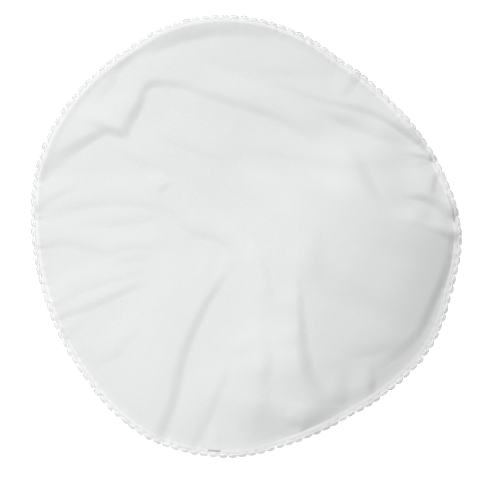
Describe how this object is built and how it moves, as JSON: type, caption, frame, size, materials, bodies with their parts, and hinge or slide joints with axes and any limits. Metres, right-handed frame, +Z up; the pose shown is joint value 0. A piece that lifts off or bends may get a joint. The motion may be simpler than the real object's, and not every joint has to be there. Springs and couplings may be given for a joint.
{
  "type": "round head veil",
  "caption": "Round soft cloth veil laid out flat, its rim closed by a narrow binding and edged with a row of small scalloped lace fans.",
  "frame": {"origin": "on the surface that the veil lies on, under the middle of its outline box", "axes": "+Z up, out of the cloth's face; +Y towards the far edge and +X to the right, as the veil is laid out"},
  "size_m": [0.5026, 0.5165, 0.0162],
  "materials": {
    "cloth": "matt white crepe weave",
    "binding": "smooth white binding strip",
    "lace": "white cotton lace"
  },
  "bodies": {
    "root": {"veil_cloth": "cloth", "rim_binding": "binding", "lace_edging": "lace"}
  },
  "joints": []
}
